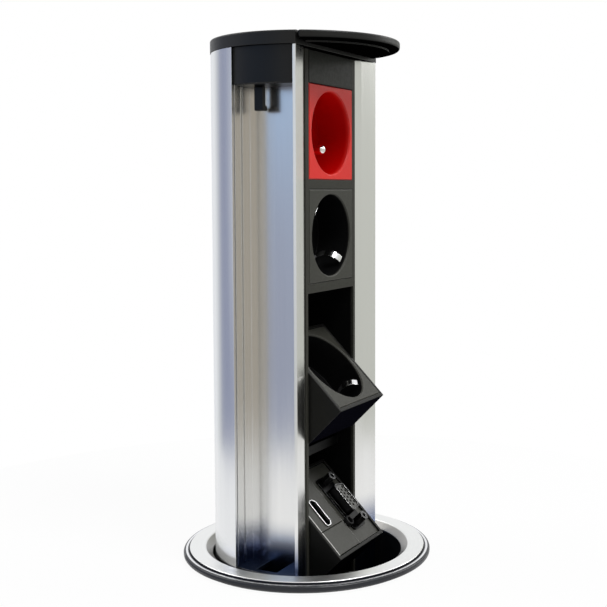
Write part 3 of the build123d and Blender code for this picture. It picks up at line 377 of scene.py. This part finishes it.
def metal(name, color, rough=(0.2, 0.3), across=2500.0, along=12.0, roundAxis=0.0, bump=0.03,
          edge=0.0003, contrast=0.08, edgeHighlightColor=None, inside=None, rim=None):
    # Drawn or brushed metal with streaks that change tone and gloss, a painted highlight on the edges, and
    # painted shade where asked
    look = metalLook
    material, tree, shader = newMaterial(name)
    streak = placeGroup(tree, brushedStreaks, Across=across, Along=along, Round=roundAxis)
    glint = placeGroup(tree, edgeGlint, Radius=edge, Gain=look["edgeGain"])
    dark, pale = scaled(color, 1 - contrast), scaled(color, 1 + contrast)
    tone = mixColor(tree, streak.outputs["Streak"], dark, pale)
    # Painted highlight: edges turn towards the pale edge highlight colour
    edgeHighlightTone = edgeHighlightColor or scaled(color, look["edgeFactor"])
    tone = mixColor(tree, glint.outputs["Mask"], tone, edgeHighlightTone)
    # Painted shade: darker behind the face plane
    if inside:
        tone = mixColor(tree, placeDepth(tree, inside), tone, inside["color"], "MULTIPLY")
    # Painted shade: dark past the ring's outer edge, in the groove
    if rim:
        tone = mixColor(tree, placeStep(tree, rim["low"], rim["high"]), tone, rim["color"])
    tree.links.new(tone, shader.inputs["Base Color"])
    tree.links.new(ramp(tree, streak.outputs["Band"], noiseSpan, rough), shader.inputs["Roughness"])
    addRelief(tree, shader, streak.outputs["Streak"], bump, look["reliefDepth"], glint.outputs["Normal"])
    shader.inputs["Metallic"].default_value = 1.0
    return material


def felt(name, color, highColor, scale, rough, bump, reliefDepth):
    # Pressed felt: short fibres over a dark ground
    material, tree, shader = newMaterial(name)
    place = addNode(tree, "ShaderNodeTexCoord")
    fibre = addNode(tree, "ShaderNodeTexVoronoi")
    fibre.inputs["Scale"].default_value = scale
    tree.links.new(place.outputs["Object"], fibre.inputs["Vector"])
    tone = mixColor(tree, fibre.outputs["Distance"], color, highColor)
    tree.links.new(tone, shader.inputs["Base Color"])
    addRelief(tree, shader, fibre.outputs["Distance"], bump, reliefDepth)
    shader.inputs["Roughness"].default_value = rough
    return material


# Face planes of the fixed sockets, the frame and the two tipped modules, behind which painted shade darkens
# the recesses
tilt = math.radians(45)
pivotY = -0.0109
socketPivotZ, dataPivotZ = 0.0907, 0.021
faceForward = 0.004         # from a pivot to its module's face


def tippedPlane(pivotZ):
    faceY = pivotY - faceForward * math.cos(tilt)
    faceZ = pivotZ + faceForward * math.sin(tilt)
    return {
        "outward": (0, -math.cos(tilt), math.sin(tilt)),
        "level": -faceY * math.cos(tilt) + faceZ * math.sin(tilt),
    }


def inside(plane, near, far, color):
    # Painted shade: behind the plane the shade colour comes in from near and is full past far
    return {**plane, "near": near, "far": far, "color": color}


faceRow = {"outward": (0, -1, 0), "level": 0.014}
frameRow = {"outward": (0, -1, 0), "level": 0.0138}
tippedSocket = tippedPlane(socketPivotZ)
tippedData = tippedPlane(dataPivotZ)
columnFoot = {"outward": (0, 0, 1), "level": 0.024}
ringBevel = {"outward": (0, 0, 1), "level": 0.0048}
# Painted shade colour for the socket recesses
paintedShadeBlack = (0.001, 0.001, 0.0012)

finishSpecs = {
    # Painted shade with a blue cast darkens the profile towards its foot
    "satinAluminium": (metal, {
        "color": (0.8, 0.8, 0.79), "rough": (0.2, 0.27), "contrast": 0.04, "bump": 0.02,
        "edgeHighlightColor": (0.97, 0.97, 0.97), "inside": inside(columnFoot, 0.0, 0.02, (0.12, 0.16, 0.3))}),
    "brushedCover": (metal, {
        "color": (0.78, 0.79, 0.8), "rough": (0.22, 0.3), "contrast": 0.06, "bump": 0.03,
        "edgeHighlightColor": (0.97, 0.97, 0.98)}),
    # Painted shade darkens the groove at the outer edge and the inner bevel
    "paleRing": (metal, {
        "color": (0.88, 0.88, 0.865), "rough": (0.3, 0.38), "roundAxis": 1.0, "across": 1800.0,
        "along": 6.0, "contrast": 0.05,
        "rim": {"low": 0.0573, "high": 0.05745, "color": (0.03, 0.03, 0.04)},
        "inside": inside(ringBevel, 0.0001, 0.0005, (0.42, 0.41, 0.4))}),
    # Painted highlight: a pale metal band on top of the dark flange edge
    "darkRim": (plastic, {
        "color": (0.014, 0.015, 0.02), "edgeHighlightColor": (0.03, 0.03, 0.036), "rough": (0.3, 0.4),
        "grain": 600.0, "bump": 0.02, "spec": 0.35,
        "paintedRimHighlight": {"from": 0.0582, "to": 0.0592, "soft": 0.0002, "color": (0.9, 0.9, 0.91)}}),
    "lidBlack": (plastic, {
        "color": (0.007, 0.007, 0.007), "edgeHighlightColor": (0.035, 0.035, 0.035), "rough": (0.36, 0.46),
        "bump": 0.04, "spec": 0.3, "under": (0.001, 0.001, 0.001)}),
    "blockBlack": (plastic, {
        "color": (0.005, 0.0055, 0.007), "edgeHighlightColor": (0.025, 0.025, 0.03), "rough": (0.3, 0.4),
        "spec": 0.25}),
    "frameCharcoal": (plastic, {
        "color": (0.034, 0.034, 0.028), "edgeHighlightColor": (0.09, 0.09, 0.08), "rough": (0.42, 0.54),
        "edge": 0.0003, "spec": 0.12,
        "inside": inside(frameRow, 0.0006, 0.002, (0.0015, 0.0015, 0.0015))}),
    "faceCharcoal": (plastic, {
        "color": (0.04, 0.04, 0.033), "edgeHighlightColor": (0.3, 0.3, 0.28), "rough": (0.42, 0.54),
        "edge": 0.0003, "spec": 0.2, "inside": inside(faceRow, 0.0004, 0.0014, paintedShadeBlack)}),
    "panelCharcoal": (plastic, {
        "color": (0.008, 0.009, 0.007), "edgeHighlightColor": (0.05, 0.05, 0.045), "rough": (0.4, 0.52),
        "edge": 0.0003, "spec": 0.15}),
    "tippedCharcoal": (plastic, {
        "color": (0.04, 0.04, 0.033), "edgeHighlightColor": (0.4, 0.4, 0.38), "rough": (0.42, 0.54),
        "edge": 0.0003, "spec": 0.2, "sides": 0.8,
        "paintedSideHighlights": {"low": -0.02138, "high": 0.1, "color": (0.6, 0.6, 0.57)},
        "inside": inside(tippedSocket, 0.0004, 0.0014, paintedShadeBlack)}),
    "plateCharcoal": (plastic, {
        "color": (0.036, 0.036, 0.03), "edgeHighlightColor": (0.1, 0.1, 0.09), "rough": (0.42, 0.54),
        "edge": 0.0003, "spec": 0.3}),
    "steppedCharcoal": (plastic, {
        "color": (0.036, 0.036, 0.03), "edgeHighlightColor": (0.1, 0.1, 0.09), "rough": (0.42, 0.54),
        "edge": 0.0003, "spec": 0.3,
        "paintedSideHighlights": {"low": -0.02125, "high": -0.00048, "color": (0.78, 0.78, 0.75)}}),
    "housingCharcoal": (plastic, {
        "color": (0.009, 0.009, 0.008), "edgeHighlightColor": (0.1, 0.1, 0.095), "rough": (0.36, 0.48),
        "edge": 0.00035, "spec": 0.12, "under": (0.004, 0.004, 0.007)}),
    "innerBlack": (plastic, {"color": (0.003, 0.003, 0.0034), "rough": (0.5, 0.62), "spec": 0.3}),
    "wellBlack": (plastic, {"color": (0.002, 0.002, 0.0024), "rough": (0.5, 0.62), "spec": 0.3}),
    "glossBlack": (plastic, {
        "color": (0.004, 0.006, 0.012), "edgeHighlightColor": (0.05, 0.07, 0.1), "rough": (0.08, 0.14),
        "bump": 0.01, "spec": 0.9}),
    "redGloss": (plastic, {
        "color": (0.76, 0.025, 0.02), "edgeHighlightColor": (0.92, 0.25, 0.22), "rough": (0.34, 0.44),
        "bump": 0.02, "edge": 0.0003, "spec": 0.2,
        "inside": inside(faceRow, 0.0004, 0.003, (0.58, 0.0, 0.0))}),
    "brightPlating": (metal, {
        "color": (0.86, 0.86, 0.86), "rough": (0.1, 0.18), "across": 900.0, "along": 90.0,
        "contrast": 0.03, "bump": 0.01}),
    "portPlating": (metal, {
        "color": (0.4, 0.4, 0.41), "rough": (0.1, 0.18), "across": 900.0, "along": 90.0,
        "contrast": 0.03, "bump": 0.01}),
    # Painted shade darkens the shell towards the module's face
    "darkNickel": (metal, {
        "color": (0.035, 0.035, 0.038), "rough": (0.26, 0.36), "across": 900.0, "along": 90.0,
        "contrast": 0.1, "edge": 0.00025, "edgeHighlightColor": (0.85, 0.85, 0.84),
        "inside": inside(tippedData, -0.002, -0.0005, (0.1, 0.1, 0.1))}),
    "postNickel": (metal, {
        "color": (0.05, 0.05, 0.052), "rough": (0.24, 0.34), "across": 900.0, "along": 90.0,
        "contrast": 0.1, "edge": 0.0003, "edgeHighlightColor": (0.55, 0.55, 0.55)}),
    "zincSteel": (metal, {
        "color": (0.6, 0.61, 0.62), "rough": (0.28, 0.42), "across": 700.0, "along": 300.0,
        "contrast": 0.1}),
    "contactBrass": (metal, {
        "color": (0.78, 0.58, 0.27), "rough": (0.2, 0.34), "across": 900.0, "along": 200.0,
        "contrast": 0.08}),
    "softRubber": (plastic, {
        "color": (0.012, 0.012, 0.013), "rough": (0.7, 0.85), "grain": 1400.0, "bump": 0.12}),
    "slidePlastic": (plastic, {"color": (0.02, 0.02, 0.021), "rough": (0.4, 0.5)}),
    "insertPlastic": (plastic, {
        "color": (0.05, 0.05, 0.045), "edgeHighlightColor": (0.16, 0.15, 0.13), "rough": (0.4, 0.5),
        "edge": 0.00015}),
    "terminalWhite": (plastic, {
        "color": (0.74, 0.73, 0.69), "edgeHighlightColor": (0.85, 0.84, 0.8), "rough": (0.35, 0.45)}),
    "wireSleeve": (plastic, {"color": (0.16, 0.07, 0.03), "rough": (0.35, 0.45)}),
    "boardGreen": (plastic, {"color": (0.02, 0.16, 0.06), "rough": (0.25, 0.35), "coat": 0.3}),
    "pressedFelt": (felt, {
        "color": (0.03, 0.03, 0.032), "highColor": (0.1, 0.1, 0.1), "scale": 1400.0, "rough": 0.95,
        "bump": 0.5, "reliefDepth": 0.0003}),
}
finishes = {name: make(name, **values) for name, (make, values) in finishSpecs.items()}

nodeFinish = {
    "flange_ring": "paleRing", "flange_rim": "darkRim", "desk_gasket": "softRubber",
    "well_tube": "wellBlack", "guide_rails": "slidePlastic", "brake_pads": "pressedFelt",
    "stop_ring": "wellBlack", "clamp_nut": "slidePlastic", "clamp_screws": "zincSteel",
    "clamp_pads": "softRubber", "well_bottom": "slidePlastic",
    "core_profile": "satinAluminium", "rear_cover": "brushedCover", "rear_cap": "lidBlack",
    "cap_plate": "zincSteel", "column_screws": "zincSteel", "flap_pins": "zincSteel",
    "channel_block_left": "blockBlack", "channel_block_right": "blockBlack",
    "cable_hook_left": "blockBlack", "cable_hook_right": "blockBlack",
    "channel_floor_left": "glossBlack", "channel_floor_right": "glossBlack",
    "bay_frame": "frameCharcoal", "blank_panel": "panelCharcoal", "bay_liner": "innerBlack",
    "red_socket_face": "redGloss", "red_socket_base": "innerBlack",
    "red_socket_contacts": "contactBrass", "red_socket_earth_pin": "brightPlating",
    "black_socket_face": "faceCharcoal", "black_socket_base": "innerBlack",
    "black_socket_contacts": "contactBrass", "black_socket_earth_clip": "brightPlating",
    "socket_screws": "zincSteel", "terminal_block": "terminalWhite", "bus_wires": "wireSleeve",
    "wire_combs": "innerBlack", "column_foot": "slidePlastic", "supply_gland": "slidePlastic",
    "front_flap": "lidBlack", "tilting_socket_housing": "housingCharcoal",
    "tilting_socket_face": "tippedCharcoal", "tilting_socket_base": "innerBlack",
    "tilting_socket_contacts": "contactBrass", "tilting_socket_earth_clip": "brightPlating",
    "tilting_socket_screws": "zincSteel", "tilting_socket_pivots": "zincSteel",
    "data_housing": "housingCharcoal", "hdmi_plate": "steppedCharcoal",
    "lower_blank_plate": "steppedCharcoal", "vga_plate": "plateCharcoal",
    "hdmi_shell": "portPlating", "hdmi_tongue": "innerBlack", "vga_shell": "darkNickel",
    "vga_insert": "insertPlastic", "vga_posts": "postNickel", "audio_jack": "innerBlack",
    "data_board": "boardGreen", "data_pivots": "zincSteel",
}
for name, finish in nodeFinish.items():
    mesh = nodes[name].data
    mesh.materials.clear()
    mesh.materials.append(finishes[finish])
bareNodes = set(nodes) - set(nodeFinish)
assert not bareNodes, bareNodes
print("finishes placed on", len(nodeFinish), "nodes")

# Floor, world and lamps
floor = {
    "sides": 128,
    "radii": (0.0515, 0.08, 0.16, 0.26),      # the first is the hole in the desk
    "color": (0.95, 0.95, 0.95),
    "shade": 0.99,
    "grain": {"Scale": 300.0, "Patch": 6.0},
    "rough": 0.6,
    "spec": 0.2,
    "glow": 0.94,           # share of plain white that the camera sees in the floor
}
roomTones = {
    "grey": (0.62, 0.63, 0.585),
    "beige": (0.5, 0.45, 0.38),
    "blue": (0.45, 0.62, 0.88),
    "dusk": (0.36, 0.39, 0.5),
    "violet": (0.28, 0.31, 0.44),
    "white": (0.96, 0.97, 0.99),
    "dim": (0.26, 0.26, 0.26),      # what lights the matt surfaces
}
duskSpan = (-0.02, 0.1)     # heights between which dusk turns to blue
# Patches of the room, each over the one before: direction, where it fades in and is full, tone
roomPatches = (
    ((-0.3, 0.95, 0), 0.75, 0.95, "violet"),
    ((0.75, 0.65, 0), 0.7, 0.95, "white"),
    ((-0.86, 0.51, 0), 0.86, 0.95, "duskToBlue"),
    ((-0.86, -0.5, 0), 0.9, 0.97, "beige"),
    ((-0.995, -0.1, 0), 0.965, 0.99, "white"),
    ((-0.44, 0.9, 0), 0.975, 0.992, "white"),
    ((0, 0, 1), 0.35, 0.75, "white"),
)
lamps = {
    "keySoftbox": {"place": (-0.25, -0.95, 1.5), "aim": (0, 0, 0.12), "size": (0.6, 0.6), "power": 17.0},
    "fillSoftbox": {"place": (0.9, -0.6, 0.7), "aim": (0, 0, 0.12), "size": (0.6, 0.6), "power": 3.5},
    "rearSoftbox": {"place": (-0.2, 1.0, 0.9), "aim": (0, 0, 0.15), "size": (0.8, 0.5), "power": 4.0},
}


def floorMaterial(spec):
    material, tree, shader = newMaterial("paleDesk")
    noise = placeGroup(tree, mouldedGrain, **spec["grain"])
    tone = mixColor(tree, noise.outputs["Tone"], scaled(spec["color"], spec["shade"]), spec["color"])
    tree.links.new(tone, shader.inputs["Base Color"])
    shader.inputs["Roughness"].default_value = spec["rough"]
    shader.inputs["Specular IOR Level"].default_value = spec["spec"]
    glow = addNode(tree, "ShaderNodeEmission")
    glow.inputs["Color"].default_value = (1, 1, 1, 1)
    path = addNode(tree, "ShaderNodeLightPath")
    mirrored = mathNode(tree, "MAXIMUM", path.outputs["Is Glossy Ray"], path.outputs["Is Transmission Ray"])
    direct = mathNode(tree, "MULTIPLY", path.outputs["Is Camera Ray"], spec["glow"])
    mixer = addNode(tree, "ShaderNodeMixShader")
    tree.links.new(mathNode(tree, "ADD", direct, mirrored, clamp=True), mixer.inputs[0])
    tree.links.new(shader.outputs[0], mixer.inputs[1])
    tree.links.new(glow.outputs[0], mixer.inputs[2])
    tree.links.new(mixer.outputs[0], tree.nodes["Material Output"].inputs["Surface"])
    return material


def makeFloor(spec):
    # A flat desk top with the round hole that the well goes through
    count = spec["sides"]
    angles = [2 * math.pi * k / count for k in range(count)]
    points = [(r * math.cos(a), r * math.sin(a), 0.0) for r in spec["radii"] for a in angles]
    faces = []
    for ring in range(len(spec["radii"]) - 1):
        inner, outer = ring * count, (ring + 1) * count
        for k in range(count):
            after = (k + 1) % count
            faces.append((inner + k, outer + k, outer + after, inner + after))
    mesh = bpy.data.meshes.new("deskTop")
    mesh.from_pydata(points, [], faces)
    mesh.materials.append(floorMaterial(spec))
    deskTop = bpy.data.objects.new("deskTop", mesh)
    bpy.context.scene.collection.objects.link(deskTop)


def makeWorld(tones, patches):
    world = bpy.data.worlds.new("softRoom")
    bpy.context.scene.world = world
    world.use_nodes = True
    tree = world.node_tree
    back = tree.nodes["Background"]
    place = addNode(tree, "ShaderNodeTexCoord")
    split = addNode(tree, "ShaderNodeSeparateXYZ")
    tree.links.new(place.outputs["Generated"], split.inputs[0])
    rise = ramp(tree, split.outputs[2], duskSpan, (0.0, 1.0))
    tones = {**tones, "duskToBlue": mixColor(tree, rise, tones["dusk"], tones["blue"])}
    room = tones["grey"]
    for direction, low, high, tone in patches:
        dot = addNode(tree, "ShaderNodeVectorMath", operation="DOT_PRODUCT")
        tree.links.new(place.outputs["Generated"], dot.inputs[0])
        dot.inputs[1].default_value = Vector(direction).normalized()
        room = mixColor(tree, smoothStep(tree, dot.outputs["Value"], low, high), room, tones[tone])
    path = addNode(tree, "ShaderNodeLightPath")
    dimmed = mixColor(tree, path.outputs["Is Diffuse Ray"], room, tones["dim"])
    shown = mixColor(tree, path.outputs["Is Camera Ray"], dimmed, (1.0, 1.0, 1.0))
    tree.links.new(shown, back.inputs["Color"])
    back.inputs["Strength"].default_value = 1.0


def makeLamp(name, spec):
    data = bpy.data.lights.new(name, "AREA")
    data.shape = "RECTANGLE"
    data.size, data.size_y = spec["size"]
    data.energy = spec["power"]
    lamp = bpy.data.objects.new(name, data)
    bpy.context.scene.collection.objects.link(lamp)
    lamp.location = spec["place"]
    aim = Vector(spec["aim"]) - Vector(spec["place"])
    lamp.rotation_euler = aim.to_track_quat("-Z", "Y").to_euler()


makeFloor(floor)
makeWorld(roomTones, roomPatches)
for name, spec in lamps.items():
    makeLamp(name, spec)
print("studio ready")
